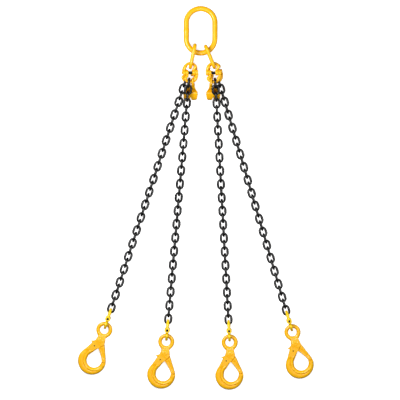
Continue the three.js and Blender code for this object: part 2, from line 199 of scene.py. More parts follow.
def hook_place(leg):
    """The hook's frame has its origin at the eye's middle, which is found from the latch's hinge."""
    latch = point(f"{leg}_latch_hinge")
    along = point(f"{leg}_lower_link_fold") - point(f"{leg}_hook_swing")
    across = along.cross(axis(f"{leg}_hook_swing"))
    matrix = placed(latch, across, along)
    return matrix @ Matrix.Translation(Vector((-LATCH_PIN[0], -LATCH_PIN[1], 0)) * MM)


# ------------------------------------------------------------------ materials


def shader(name, roughness, metallic, coat=0.0, coat_roughness=0.1):
    material = bpy.data.materials.new(name)
    material.use_nodes = True
    principled = material.node_tree.nodes["Principled BSDF"]
    principled.inputs["Roughness"].default_value = roughness
    principled.inputs["Metallic"].default_value = metallic
    principled.inputs["Coat Weight"].default_value = coat
    principled.inputs["Coat Roughness"].default_value = coat_roughness
    return material, material.node_tree, principled


def noise(tree, scale, detail=3.0, roughness=0.55):
    """A noise pattern in the piece's own frame. Scale is in features per metre."""
    place = tree.nodes.new("ShaderNodeTexCoord")
    node = tree.nodes.new("ShaderNodeTexNoise")
    node.inputs["Scale"].default_value = scale
    node.inputs["Detail"].default_value = detail
    node.inputs["Roughness"].default_value = roughness
    tree.links.new(place.outputs["Object"], node.inputs["Vector"])
    return node.outputs["Fac"]


def ramp(tree, value, stops):
    node = tree.nodes.new("ShaderNodeValToRGB")
    elements = node.color_ramp.elements
    while len(elements) < len(stops):
        elements.new(0.5)
    for element, (position, colour) in zip(elements, stops):
        element.position = position
        element.color = (*colour, 1)
    tree.links.new(value, node.inputs["Fac"])
    return node.outputs["Color"]


def span(tree, value, low, high, new_low, new_high):
    node = tree.nodes.new("ShaderNodeMapRange")
    for socket, number in zip(("From Min", "From Max", "To Min", "To Max"), (low, high, new_low, new_high)):
        node.inputs[socket].default_value = number
    tree.links.new(value, node.inputs["Value"])
    return node.outputs["Result"]


def mixed(tree, share, first, second):
    node = tree.nodes.new("ShaderNodeMix")
    node.data_type = "RGBA"
    for socket, source in (("Factor", share), ("A", first), ("B", second)):
        target = [s for s in node.inputs if s.name == socket and s.enabled][0]
        if isinstance(source, tuple):
            target.default_value = (*source, 1)
        else:
            tree.links.new(source, target)
    return [s for s in node.outputs if s.enabled][0]


def bumps(tree, principled, layers):
    """Stacked bumps: (height, strength, distance in metres) for each."""
    normal = None
    for height, strength, distance in layers:
        node = tree.nodes.new("ShaderNodeBump")
        node.inputs["Strength"].default_value = strength
        node.inputs["Distance"].default_value = distance
        tree.links.new(height, node.inputs["Height"])
        if normal is not None:
            tree.links.new(normal, node.inputs["Normal"])
        normal = node.outputs["Normal"]
    tree.links.new(normal, principled.inputs["Normal"])


def paint_material(name, shade, light, crevice_shade):
    """Powder coat: orange peel over a forging's soft waves, a deeper orange painted in as shade towards hollows
    and creases, and small specks.
    """
    material, tree, principled = shader(name, 0.34, 0.0, coat=0.15, coat_roughness=0.12)
    principled.inputs["Specular IOR Level"].default_value = 0.38
    geometry = tree.nodes.new("ShaderNodeNewGeometry")
    edge = span(tree, geometry.outputs["Pointiness"], 0.47, 0.54, 0.0, 1.0)
    patches = noise(tree, 45, detail=4)
    base = ramp(tree, patches, [(0.3, shade), (0.7, light)])
    # Painted shade: the deeper orange goes where the surface is concave and fades out on convex edges
    crevice_shaded = mixed(tree, edge, crevice_shade, base)
    speck = ramp(tree, noise(tree, 1400, detail=2), [(0.70, (0, 0, 0)), (0.74, (1, 1, 1))])
    colour = mixed(tree, span(tree, speck, 0, 1, 0, 0.35), crevice_shaded, (0.70, 0.32, 0.004))
    tree.links.new(colour, principled.inputs["Base Color"])
    tree.links.new(span(tree, noise(tree, 160), 0.3, 0.7, 0.27, 0.42), principled.inputs["Roughness"])
    waves, peel = noise(tree, 70, detail=2), noise(tree, 900, detail=2)
    bumps(tree, principled, [(waves, 0.35, 0.0009), (peel, 0.22, 0.00012)])
    return material


def chain_material():
    """Black lacquer over scaled, quenched steel: a grey sheen, and rubbed spots here and there."""
    material, tree, principled = shader("black_chain_lacquer", 0.4, 0.1, coat=0.1, coat_roughness=0.12)
    principled.inputs["Specular IOR Level"].default_value = 0.36
    scale = noise(tree, 260, detail=5, roughness=0.65)
    base = ramp(tree, scale, [(0.32, (0.001, 0.0012, 0.0015)), (0.72, (0.006, 0.0063, 0.0066))])
    wear = noise(tree, 95, detail=6, roughness=0.7)
    rubbed = ramp(tree, wear, [(0.60, (0, 0, 0)), (0.78, (1, 1, 1))])
    colour = mixed(tree, span(tree, rubbed, 0, 1, 0, 0.5), base, (0.020, 0.020, 0.021))
    tree.links.new(colour, principled.inputs["Base Color"])
    tree.links.new(span(tree, scale, 0.3, 0.75, 0.24, 0.42), principled.inputs["Roughness"])
    flakes, grain = noise(tree, 240, detail=4), noise(tree, 1500, detail=2)
    bumps(tree, principled, [(flakes, 0.5, 0.0003), (grain, 0.3, 0.00006)])
    return material


def pin_material():
    """Blackened, ground steel for pins and sleeves."""
    material, tree, principled = shader("blackened_steel", 0.4, 0.5)
    principled.inputs["Specular IOR Level"].default_value = 0.3
    turning = noise(tree, 420, detail=4)
    tree.links.new(
        ramp(tree, turning, [(0.3, (0.005, 0.005, 0.0055)), (0.75, (0.020, 0.0195, 0.019))]),
        principled.inputs["Base Color"],
    )
    tree.links.new(span(tree, turning, 0.3, 0.7, 0.28, 0.46), principled.inputs["Roughness"])
    bumps(tree, principled, [(turning, 0.25, 0.0001)])
    return material


def spring_material():
    """Bright drawn spring wire."""
    material, tree, principled = shader("spring_wire", 0.25, 1.0)
    streaks = noise(tree, 900)
    tree.links.new(
        ramp(tree, streaks, [(0.3, (0.30, 0.30, 0.31)), (0.7, (0.48, 0.48, 0.49))]),
        principled.inputs["Base Color"],
    )
    tree.links.new(span(tree, streaks, 0.3, 0.7, 0.2, 0.35), principled.inputs["Roughness"])
    bumps(tree, principled, [(streaks, 0.2, 0.00003)])
    return material


# The last colour of each paint is painted shade for hollows and creases
PAINT = paint_material(
    "golden_powder_coat", shade=(0.95, 0.49, 0.001), light=(1.0, 0.56, 0.003), crevice_shade=(0.92, 0.41, 0.0005)
)
# A lighter, yellower copy of the same powder coat for the lower connecting links: painted light that stands in for
# the light their edge-on bows don't catch
PAINT_LIGHTENED = paint_material(
    "powder_coat_painted_lighter", shade=(0.96, 0.64, 0.003), light=(1.0, 0.74, 0.008), crevice_shade=(0.95, 0.56, 0.002)
)
LACQUER = chain_material()
STEEL = pin_material()
WIRE = spring_material()

# ------------------------------------------------------------------ paths and outlines, in millimetres


def resampled(points, spacing, closed):
    """Points spaced evenly along a line of points."""
    points = np.array(points, float)
    line = np.vstack([points, points[:1]]) if closed else points
    reach = np.concatenate([[0], np.cumsum(np.linalg.norm(np.diff(line, axis=0), axis=1))])
    count = max(3, round(reach[-1] / spacing))
    at = np.linspace(0, reach[-1], count + 1)
    at = at[:-1] if closed else at
    return np.stack([np.interp(at, reach, line[:, k]) for k in range(points.shape[1])], axis=1)


def smooth_line(points, closed, steps=12):
    """A centripetal Catmull-Rom curve through points."""
    p = np.array(points, float)
    if closed:
        p = np.vstack([p[-1:], p, p[:2]])
    else:
        p = np.vstack([2 * p[0] - p[1], p, 2 * p[-1] - p[-2]])
    curve = []
    for a, b, c, d in zip(p[:-3], p[1:-2], p[2:-1], p[3:]):
        ta = math.sqrt(max(np.linalg.norm(b - a), 1e-9))
        tb = ta + math.sqrt(max(np.linalg.norm(c - b), 1e-9))
        tc = tb + math.sqrt(max(np.linalg.norm(d - c), 1e-9))
        for t in np.linspace(ta, tb, steps, endpoint=False):
            ab = (a * (ta - t) + b * t) / ta
            bc = (b * (tb - t) + c * (t - ta)) / (tb - ta)
            cd = (c * (tc - t) + d * (t - tb)) / (tc - tb)
            abc = (ab * (tb - t) + bc * t) / tb
            bcd = (bc * (tc - t) + cd * (t - ta)) / (tc - ta)
            curve.append((abc * (tb - t) + bcd * (t - ta)) / (tb - ta))
    if not closed:
        curve.append(p[-2])
    return np.array(curve)


def arc(centre, radius, start, end, steps):
    """Points along an arc between two angles in degrees."""
    angles = np.radians(np.linspace(start, end, steps + 1))
    return [(centre[0] + radius * math.cos(a), centre[1] + radius * math.sin(a)) for a in angles]


def oblong(half_width, half_length, corner, spacing):
    """A closed oblong path, evenly spaced from the middle of its right side."""
    x, y = half_width - corner, half_length - corner
    points = [(half_width, 0)]
    for (cx, cy), start in (((x, y), 0), ((-x, y), 90), ((-x, -y), 180), ((x, -y), 270)):
        points += arc((cx, cy), corner, start, start + 90, 24)
    return resampled(points, spacing, closed=True)


# ------------------------------------------------------------------ meshes


def mesh_from(name, vertices, faces, material, sharp=None):
    """A mesh in metres from vertices in millimetres. Sharp is the angle above which an edge stays hard."""
    mesh = bpy.data.meshes.new(name)
    mesh.from_pydata((np.array(vertices) * MM).tolist(), [], faces)
    mesh.validate()
    finished(mesh, material, sharp)
    return mesh


def finished(mesh, material, sharp=None):
    """Consistent outward faces, smooth shading and one material."""
    work = bmesh.new()
    work.from_mesh(mesh)
    bmesh.ops.recalc_face_normals(work, faces=work.faces)
    work.to_mesh(mesh)
    work.free()
    mesh.shade_smooth()
    if sharp is not None:
        mesh.set_sharp_from_angle(angle=math.radians(sharp))
    mesh.materials.clear()
    mesh.materials.append(material)


def tube(path, radii, sides, closed, up=(0, 0, 1)):
    """Vertices and faces of a round bar along a path. Radii is one number or one for each point."""
    path = np.array(path, float)
    if path.shape[1] == 2:
        path = np.column_stack([path, np.zeros(len(path))])
    radii = np.broadcast_to(radii, len(path))
    if closed:
        ahead = np.roll(path, -1, axis=0) - np.roll(path, 1, axis=0)
    else:
        ahead = np.gradient(path, axis=0)
    ahead /= np.linalg.norm(ahead, axis=1, keepdims=True)
    side = np.cross(ahead, up)
    side /= np.linalg.norm(side, axis=1, keepdims=True)
    over = np.cross(side, ahead)
    turns = np.linspace(0, 2 * math.pi, sides, endpoint=False)
    rings = [
        path[i] + radii[i] * (np.outer(np.cos(turns), side[i]) + np.outer(np.sin(turns), over[i]))
        for i in range(len(path))
    ]
    faces = []
    for i in range(len(path) if closed else len(path) - 1):
        a, b = i * sides, (i + 1) % len(path) * sides
        faces += [(a + k, a + (k + 1) % sides, b + (k + 1) % sides, b + k) for k in range(sides)]
    if not closed:
        faces.append(tuple(range(sides)))
        faces.append(tuple(range((len(path) - 1) * sides, len(path) * sides)))
    return np.vstack(rings), faces


def lathe(profile, sides, axis_index=0):
    """Vertices and faces of (place, radius) pairs turned about an axis. The ends close on the axis."""
    turns = np.linspace(0, 2 * math.pi, sides, endpoint=False)
    others = [k for k in range(3) if k != axis_index]
    vertices, faces = [], []
    for place, radius in profile:
        ring = np.zeros((sides, 3))
        ring[:, axis_index] = place
        ring[:, others[0]] = radius * np.cos(turns)
        ring[:, others[1]] = radius * np.sin(turns)
        vertices.append(ring)
    for i in range(len(profile) - 1):
        a, b = i * sides, (i + 1) * sides
        faces += [(a + k, a + (k + 1) % sides, b + (k + 1) % sides, b + k) for k in range(sides)]
    faces.append(tuple(range(sides)))
    faces.append(tuple(range((len(profile) - 1) * sides, len(profile) * sides)))
    return np.vstack(vertices), faces


def together(*shapes):
    """Several (vertices, faces) shapes as one."""
    vertices, faces, count = [], [], 0
    for shape_vertices, shape_faces in shapes:
        vertices.append(shape_vertices)
        faces += [tuple(i + count for i in face) for face in shape_faces]
        count += len(shape_vertices)
    return np.vstack(vertices), faces


def moved(shape, offset):
    """A (vertices, faces) shape moved by an offset in X, Y and Z."""
    vertices, faces = shape
    return vertices + np.array(offset), faces


def drill(centre, radius):
    """A cutter along Z at a place in the XY plane, longer than the hook is thick."""
    shape = lathe([(-DRILL_REACH, radius), (DRILL_REACH, radius)], 24, axis_index=2)
    return moved(shape, (*centre, 0))


def prism(outline, low, high):
    """An outline in the XY plane made solid along Z."""
    outline = np.array(outline, float)
    n = len(outline)
    vertices = np.vstack([np.column_stack([outline, np.full(n, z)]) for z in (low, high)])
    sides = [(i, (i + 1) % n, n + (i + 1) % n, n + i) for i in range(n)]
    return vertices, [tuple(reversed(range(n))), tuple(range(n, 2 * n)), *sides]


def scratch(shape):
    """A throwaway object of a shape, for modifiers."""
    mesh = mesh_from("scratch", *shape, PAINT)
    made = bpy.data.objects.new("scratch", mesh)
    bpy.context.scene.collection.objects.link(made)
    return made


def evaluated(made):
    """The mesh of a scratch object with its modifiers applied. The object is removed."""
    bpy.context.view_layer.update()
    depsgraph = bpy.context.evaluated_depsgraph_get()
    mesh = bpy.data.meshes.new_from_object(made.evaluated_get(depsgraph))
    bpy.data.objects.remove(made)
    return mesh


def cut(base, *tools, operation="DIFFERENCE"):
    """A base shape or mesh with tool shapes cut out of it, or joined or crossed with it."""
    if isinstance(base, bpy.types.Mesh):
        made = bpy.data.objects.new("scratch", base)
        bpy.context.scene.collection.objects.link(made)
    else:
        made = scratch(base)
    helpers = []
    for tool in tools:
        helper = scratch(tool)
        helpers.append(helper)
        modifier = made.modifiers.new("boolean", "BOOLEAN")
        modifier.operation = operation
        modifier.solver = "EXACT"
        modifier.object = helper
    mesh = evaluated(made)
    for helper in helpers:
        bpy.data.objects.remove(helper)
    return mesh


def cast(mesh, voxel, smoothing):
    """A mesh fused and softened as a forging is: remeshed at a voxel in millimetres, then smoothed."""
    made = bpy.data.objects.new("scratch", mesh)
    bpy.context.scene.collection.objects.link(made)
    remesh = made.modifiers.new("remesh", "REMESH")
    remesh.mode = "VOXEL"
    remesh.voxel_size = voxel * MM
    smooth = made.modifiers.new("smooth", "SMOOTH")
    smooth.factor = 0.5
    smooth.iterations = smoothing
    return evaluated(made)


# ------------------------------------------------------------------ forgings with a flat parting line


def step(value, low, high):
    """A smooth step from 0 at low to 1 at high."""
    t = np.clip((value - low) / (high - low), 0, 1)
    return t * t * (3 - 2 * t)


def distance_to(points, loops):
    """The distance from each point to the nearest edge of closed loops."""
    best = np.full(len(points), np.inf)
    for loop in loops:
        a, b = loop, np.roll(loop, -1, axis=0)
        edge = b - a
        length = (edge**2).sum(1)
        for k in range(len(loop)):
            along = np.clip(((points - a[k]) @ edge[k]) / length[k], 0, 1)
            near = a[k] + along[:, None] * edge[k]
            best = np.minimum(best, np.linalg.norm(points - near, axis=1))
    return best


def inside(points, loops):
    """Whether each point is inside the first loop and outside the others."""
    crossings = np.zeros(len(points), int)
    for loop in loops:
        for (x1, y1), (x2, y2) in zip(loop, np.roll(loop, -1, axis=0)):
            spans = (y1 > points[:, 1]) != (y2 > points[:, 1])
            if y1 != y2:
                crosses = points[:, 0] < (x2 - x1) * (points[:, 1] - y1) / (y2 - y1) + x1
                crossings += spans & crosses
    return crossings % 2 == 1


def forging(loops, thickness, rounding, spacing, rings=6, creases=()):
    """A solid whose half thickness is a function of place, rounded off at its outline.

    Loops are the outline and its holes. Thickness and rounding take points and give millimetres.
    Creases are lines along which the thickness changes quickly, and they get points of their own."""
    loops = [resampled(loop, spacing, closed=True) for loop in loops]
    rim = np.vstack(loops)
    kept = [rim]
    for crease in creases:
        line = resampled(crease, 0.6 * spacing, closed=False)
        kept.append(line[inside(line, loops) & (distance_to(line, loops) > 0.3 * spacing)])
    for k in range(1, rings + 1):
        ring_points, wanted = [], []
        for loop in loops:
            ahead = np.roll(loop, -1, axis=0) - np.roll(loop, 1, axis=0)
            ahead /= np.linalg.norm(ahead, axis=1, keepdims=True)
            normal = np.column_stack([-ahead[:, 1], ahead[:, 0]])
            probe = loop + 0.05 * normal
            normal[~inside(probe, loops)] *= -1
            inset = rounding(loop) * (1 - math.cos(k / rings * math.pi / 2))
            ring_points.append(loop + normal * inset[:, None])
            wanted.append(inset)
        candidates, wanted = np.vstack(ring_points), np.concatenate(wanted)
        clear = inside(candidates, loops) & (distance_to(candidates, loops) > 0.96 * wanted)
        kept.append(candidates[clear])
    low, high = rim.min(0), rim.max(0)
    columns, rows = (np.arange(low[k], high[k], spacing) for k in range(2))
    grid = np.stack(np.meshgrid(columns, rows), -1).reshape(-1, 2) + np.array([0, 0.31 * spacing])
    grid[:, 0] += np.where(np.round((grid[:, 1] - low[1]) / spacing) % 2, 0.5 * spacing, 0)
    grid = grid[inside(grid, loops)]
    kept.append(grid[distance_to(grid, loops) > rounding(grid)])
    points = spread(kept, 0.22 * spacing)
    triangles, points = triangulated(points, loops)
    rim_count = len(rim)
    reach = distance_to(points, loops)
    round_off = np.clip(1 - reach / rounding(points), 0, 1)
    height = thickness(points) * np.sqrt(1 - round_off**2)
    height[:rim_count] = 0
    lower = np.arange(len(points))
    lower[rim_count:] = np.arange(len(points) - rim_count) + len(points)
    top = np.column_stack([points, height])
    bottom = np.column_stack([points[rim_count:], -height[rim_count:]])
    faces = [tuple(t) for t in triangles] + [tuple(lower[list(reversed(t))]) for t in triangles]
    return np.vstack([top, bottom]), [tuple(int(i) for i in f) for f in faces]


def spread(groups, least):
    """Groups of points as one, with later points dropped where they crowd earlier ones."""
    kept = groups[0]
    for group in groups[1:]:
        if not len(group):
            continue
        near = np.array([((kept - p) ** 2).sum(1).min() for p in group])
        fresh = group[near > least**2]
        chosen = np.ones(len(fresh), bool)
        for i in range(1, len(fresh)):
            earlier = fresh[:i][chosen[:i]]
            if len(earlier) and ((earlier - fresh[i]) ** 2).sum(1).min() < least**2:
                chosen[i] = False
        kept = np.vstack([kept, fresh[chosen]])
    return kept


def triangulated(points, loops):
    """Triangles inside the loops. The loops' points come first in points.

    A triangle with all its corners on the rim would be flat in the finished solid. A sliver of that kind is
    dropped, and a larger one is split. Any that are left after the last pass are dropped too."""
    edges, start = [], 0
    for loop in loops:
        edges += [(start + i, start + (i + 1) % len(loop)) for i in range(len(loop))]
        start += len(loop)
    rim_count = start
    for _ in range(SPLIT_PASSES):
        made = delaunay_2d_cdt([Vector(p) for p in points], edges, [], 0, 1e-5)
        back = {i: originals[0] for i, originals in enumerate(made[3]) if originals}
        triangles = np.array([[back[i] for i in face] for face in made[2]])
        triangles = triangles[inside(points[triangles].mean(1), loops)]
        a, b, c = (points[triangles[:, k]] for k in range(3))
        ab, ac = b - a, c - a
        area = np.abs(ab[:, 0] * ac[:, 1] - ab[:, 1] * ac[:, 0]) / 2
        on_rim = (triangles < rim_count).all(1)
        split = on_rim & (area > SLIVER)
        if not split.any():
            break
        points = np.vstack([points, points[triangles[split]].mean(1)])
    return triangles[~on_rim], points


# ------------------------------------------------------------------ links of round bar


def weld(path, height, width):
    """How much a weld at a closed path's first point adds to the radius, along the path."""
    reach = np.linalg.norm(np.diff(np.vstack([path, path[:1]]), axis=0), axis=1)
    along = np.concatenate([[0], np.cumsum(reach)])[:-1]
    from_weld = np.minimum(along, reach.sum() - along)
    return height * np.exp(-((from_weld / width) ** 2))


def ring_mesh(name, sizes, spacing, sides, weld_side):
    """A welded oblong ring. Weld side is 1 for a weld on its right and -1 for one on its left."""
    path = weld_side * oblong(sizes["half_width"], sizes["half_length"], sizes["corner"], spacing)
    radii = sizes["bar"] + weld(path, *sizes["bead"]) - weld(path, *sizes["notch"])
    return mesh_from(name, *tube(path, radii, sides, closed=True), PAINT)


def chain_mesh(name, first_y, seed):
    """A run of links down -Y, every other one lying flat, each with its weld on one side or the other."""
    wobble = random.Random(seed)
    path = oblong(CHAIN["half_width"], CHAIN["half_length"], CHAIN["half_width"], 2.4)
    limbs = CHAIN["limb"] * step(-np.abs(path[:, 1]), -12, -7)
    radii = CHAIN["wire"] + weld(path, *CHAIN["bead"]) + limbs
    vertices, faces = tube(path, radii, 12, closed=True)
    links = []
    for i in range(CHAIN["links"]):
        weld_side = wobble.choice((0, math.pi))
        tilt = math.radians(wobble.uniform(-CHAIN["tilt"], CHAIN["tilt"]))
        flat = math.pi / 2 * ((i + 1) % 2) + weld_side + tilt
        turn = np.array(Matrix.Rotation(flat, 3, "Y"))
        links.append(moved((vertices @ turn.T, faces), (0, first_y - CHAIN["pitch"] * i, 0)))
    return mesh_from(name, *together(*links), LACQUER)


# ------------------------------------------------------------------ connecting links


def link_half_mesh():
    """A bow with an outer lug on its left and an inner lug on its right, fused, softened, then bored."""
    bow_centre = (0, LINK["length"] - LINK["bow"])
    spine = [
        (-LUG_OUTER, 2),
        (-LUG_OUTER - 0.4, LINK["lug"] + 0.5),
        (-25.7, 18.6),
        *arc(bow_centre, LINK["bow"], 165, 15, 10),
        (18.6, 18.6),
        (LUG_INNER - 0.4, LINK["lug"] + 0.5),
        (LUG_INNER, 2),
    ]
    path = resampled(smooth_line(spine, closed=False), 2, closed=False)
    from_shoulder = (path[:, 1] - LINK["shoulder_y"]) / LINK["shoulder_spread"]
    radii = LINK["bar"] + LINK["shoulder"] * np.exp(-(from_shoulder**2))
    rounding = LINK["lug_rounding"]
    half = LINK["lug_width"] / 2
    profile = [
        (-half, LINK["lug"] - rounding),
        (-half + 0.3 * rounding, LINK["lug"] - 0.3 * rounding),
        (-half + rounding, LINK["lug"]),
        (half - rounding, LINK["lug"]),
        (half - 0.3 * rounding, LINK["lug"] - 0.3 * rounding),
        (half, LINK["lug"] - rounding),
    ]
    lugs = [moved(lathe(profile, 40), (x, 0, 0)) for x in (-LUG_OUTER, LUG_INNER)]
    fused = cut(tube(path, radii, 20, closed=False), *lugs, operation="UNION")
    soft = cast(fused, voxel=0.9, smoothing=5)
    bore = lathe([(-60, SLEEVE["hole"]), (60, SLEEVE["hole"])], 32)
    mesh = cut(soft, bore)
    finished(mesh, PAINT, sharp=50)
    return mesh


def link_pin_mesh():
    """The load pin with dimpled and chamfered ends, and on its middle the sleeve, with a shallow groove."""
    end = LUG_OUTER + LINK["lug_width"] / 2 - 0.4
    half = SLEEVE["length"] / 2
    radius, pin = SLEEVE["radius"], SLEEVE["pin"]
    ends = [(0.6, 0.4 * pin), (0.15, 0.5 * pin), (0, pin - 0.9), (0.8, pin)]
    left = [(-end + inset, r) for inset, r in ends]
    sleeve = [(-half, pin), (-half, radius - 1), (-half + 1, radius), (-0.7, radius), (0, radius - 0.25)]
    profile = left + sleeve + [(-place, r) for place, r in reversed(left + sleeve[:-1])]
    return mesh_from("link_pin", *lathe(profile, 40), STEEL, sharp=35)


# ------------------------------------------------------------------ grab hook


def grab_mesh():
    """The side profile crossed with the front profile, with its eye and cradle wings, softened."""
    length, slot, bottom = GRAB["length"], GRAB["slot"], GRAB["slot_bottom"]
    side = [
        (5.5, -9), (6.3, -20), (7.5, -30), (11.6, -40), (13.7, -51), (12.1, -62), (9.2, -74),
        (5, -length + 4.5), (0, -length), (-6, -length + 3), (-11, -length + 12), (-13, -64), (-13.2, -52),
        (-11.5, -47), (-9, -46), (-slot - 0.6, -48), (-slot, -52), (-slot, -bottom + 5), (-3.6, -bottom + 1),
        (0, -bottom), (3.6, -bottom + 1), (slot, -bottom + 5), (slot, -52), (slot - 0.5, -46), (2, -38.5),
        (-3, -31), (-5.5, -20), (-5.5, -9),
    ]
    front = [
        (6.8, -9), (7.1, -22), (7.9, -32), (10.3, -42), (14, -51), (17.8, -57.2), (18.2, -58.6),
        (16, -62.6), (14.8, -70), (11.8, -length + 8), (6.5, -length + 1.5), (0, -length),
    ]
    front += [(-x, y) for x, y in reversed(front[:-1])]
    upright = Matrix.Rotation(math.pi / 2, 3, "Y")
    side_line = resampled(smooth_line(side, closed=True, steps=6), 1.6, closed=True)
    front_line = resampled(smooth_line(front, closed=True, steps=6), 1.8, closed=True)
    vertices, faces = prism(side_line * np.array([-1, 1]), -30, 30)
    side_solid = (vertices @ np.array(upright), faces)
    body = cut(side_solid, prism(front_line, -30, 30), operation="INTERSECT")
    eye_path = [(0, y, z) for y, z in arc((0, 0), GRAB["eye"], 0, 360, 48)[:-1]]
    eye = tube(eye_path, GRAB["eye_bar"], 16, closed=True, up=(1, 0, 0))
    fused = cut(body, eye, operation="UNION")
    mesh = cast(fused, voxel=0.9, smoothing=3)
    finished(mesh, PAINT)
    return mesh


# ------------------------------------------------------------------ self-locking hook


def hook_outline():
    """The body's outline from its neck down the back, round the bowl to the tip, and up the inside."""
    back = [
        (-26, -25.5), (-19.5, -33), (-20, -44), (-24, -54), (-29.5, -63), (-39.5, -79),
        (-51.5, -99.5), (-61, -113),
    ]
    bowl_back = arc(BOWL["back_centre"], BOWL["back_radius"], 156, 358, 24)
    tip = [(52.6, -142), (51.6, -137.4), (46.5, -138.3), (42, -140.1), (36, -139.9), (31.8, -138.9)]
    bowl = arc(BOWL["centre"], BOWL["radius"], 0, -178, 20)
    inside_back = [(-32, -130), (-26.5, -120.5), (-18.5, -110.5), (-12, -101.5), (-6, -93), (0.5, -87.3)]
    seam = [(7, -79), (14.5, -70), (21, -61.5), (21, -52), (19, -40), (20.5, -32), (26, -25.5)]
    eye = arc((0, 0), HOOK_EYE["outer"], -41, 221, 30)
    corners = smooth_line(back, closed=False, steps=5).tolist() + bowl_back[1:]
    corners += tip + bowl[1:-1]
    corners += smooth_line(inside_back, closed=False, steps=5).tolist()
    corners += smooth_line(seam, closed=False, steps=5).tolist()
    return corners + eye[1:-1]


def past_seam(points):
    """How far a point is past the fork's slanting edge, on the latch's side of it."""
    return points @ SEAM_OUT - SEAM


def hook_thickness(points):
    """Half thickness: a round eye, flat fork plates, and a bowl with a raised inner rib and a thinner tip."""
    x, y = points[:, 0], points[:, 1]
    from_eye = np.hypot(x, y)
    eye = (HOOK_EYE["outer"] - HOOK_EYE["hole"]) / 2
    neck = step(from_eye, 30, 50)
    centre = np.array(BOWL["centre"])
    from_bowl = np.hypot(x - centre[0], y - centre[1])
    angle = np.degrees(np.arctan2(y - centre[1], x - centre[0])) % 360
    in_bowl = step(y, -100, -112)
    outside_rib = step(from_bowl, RIB_RADIUS - 1.2, RIB_RADIUS + 1.6) * in_bowl * (1 - step(angle, 290, 320))
    groove = np.exp(-(((from_bowl - RIB_RADIUS) / 1.7) ** 2)) * in_bowl * (1 - step(angle, 285, 315))
    end_ridge = np.exp(-((np.hypot(x + 33, y + 107) / 4.5) ** 2))
    full = HOOK_HALF_THICKNESS + RELIEF["rib"] - RELIEF["outside_rib"] * outside_rib
    full = full - RELIEF["groove"] * groove + RELIEF["end_ridge"] * end_ridge
    towards_tip = step(x, 30, 52) * step(y, -185, -150)
    full = full - RELIEF["tip"] * towards_tip
    boss = RELIEF["boss"] * step(np.hypot(x - LATCH_PIN[0], y - LATCH_PIN[1]), 13.2, 11.8)
    fork_edge = RELIEF["fork_edge"] * step(y + 0.55 * x, -66, -72) * (1 - in_bowl)
    return eye + (full - RELIEF["fork"] + boss - fork_edge - eye) * neck


def hook_rounding(points):
    """How far in from the outline the surface takes to come up to its full thickness."""
    x, y = points[:, 0], points[:, 1]
    eye = (HOOK_EYE["outer"] - HOOK_EYE["hole"]) / 2
    neck = step(np.hypot(x, y), 34, 46)
    bowl = step(y, -96, -122)
    tip = step(np.hypot(x - TIP_END[0], y - TIP_END[1]), 22, 8)
    seam = step(past_seam(points), -7, -3) * step(y, -92, -87) * step(-y, 52, 58)
    sharp = np.maximum(tip, seam)
    return (eye + (5.2 - eye) * neck + 7.6 * bowl) * (1 - sharp) + 1.1 * sharp


def machined(blank, *cutters):
    """A forging with its slots and holes cut, painted, and hard along the cut edges."""
    mesh = cut(blank, *cutters)
    finished(mesh, PAINT, sharp=CUT_EDGE)
    return mesh


def hook_body_mesh():
    """The eye, the slotted fork and the bowl in one forging."""
    eye_hole = arc((0, 0), HOOK_EYE["hole"], 0, 360, 60)[:-1]
    creases = [arc(LATCH_PIN, radius, 0, 360, 60) for radius in (11.7, 13.3)]
    rib_edges = (RIB_RADIUS - 1.6, RIB_RADIUS, RIB_RADIUS + 1.6)
    creases += [arc(BOWL["centre"], radius, 130, 320, 90) for radius in rib_edges]
    loops = [np.array(hook_outline()), np.array(eye_hole)]
    blank = forging(loops, hook_thickness, hook_rounding, 2.1, creases=creases)
    latch_slot = [
        (-14.5, -35), (-12, -33.5), (40, -33.5), (40, -75), (10, -100), (-3, -92), (-12, -75), (-15, -60),
    ]
    trigger_slot = [
        (-13, -57), (-25, -50), (-60, -58), (-60, -108), (-37, -108), (-24, -96), (-8, -84), (-8, -70),
    ]
    return machined(
        blank,
        prism(latch_slot, -LATCH_SLOT, LATCH_SLOT),
        prism(trigger_slot, -TRIGGER_SLOT, TRIGGER_SLOT),
        drill(TRIGGER_PIN, FORK_HOLE),
    )


def latch_mesh():
    """A heel inside the fork, and a thicker arm that closes the bowl."""
    heel = arc(LATCH_PIN, 11.3, 170, 40, 10)
    right = [(15, -50.5), (21.5, -61.5), (28, -75), (34.2, -92), (40.5, -107), (46.6, -122), (50.8, -133)]
    end = [(51.2, -136.9), (46.3, -137.8), (42, -139.6), (36, -139.4), (31.9, -138.3)]
    left = [(27.6, -127), (18.6, -112), (10.6, -100), (1, -87.5), (-8, -72), (-12.3, -58)]
    outline = np.array(heel + right + end + left)

    def on_arm(points):
        """How far a point is from the arm's middle line, as a share of the half width, and how far down."""
        root, end_point = np.array([(9, -76), (43.5, -134)])
        ahead = (end_point - root) / np.linalg.norm(end_point - root)
        offset = (points - root) @ np.array([-ahead[1], ahead[0]])
        along = (points - root) @ ahead
        return np.abs(offset) / np.interp(along, [0, 67], [12, 8.5]), along

    def thickness(points):
        below_seam = step(past_seam(points), 1.1, 2.0)
        offset, along = on_arm(points)
        pocket = step(offset, 0.62, 0.42) * step(along, 6, 12) * (1 - step(along, 50, 57))
        return LATCH_HALF_THICKNESS + (LATCH_ARM_RISE - LATCH_POCKET * pocket) * below_seam

    def rounding(points):
        arm = step(past_seam(points), 2, 9)
        end = step(np.hypot(points[:, 0] - TIP_END[0], points[:, 1] - TIP_END[1]), 16, 6)
        return 1.1 + 2.4 * arm * (1 - end)

    creases = []
    for past in (1.0, 2.1):
        foot = SEAM_OUT * SEAM + SEAM_OUT * past
        creases.append([foot - 90 * SEAM_ALONG, foot + 90 * SEAM_ALONG])
    blank = forging([outline], thickness, rounding, 1.9, creases=creases)
    return machined(blank, drill(LATCH_PIN, LATCH_HOLE))


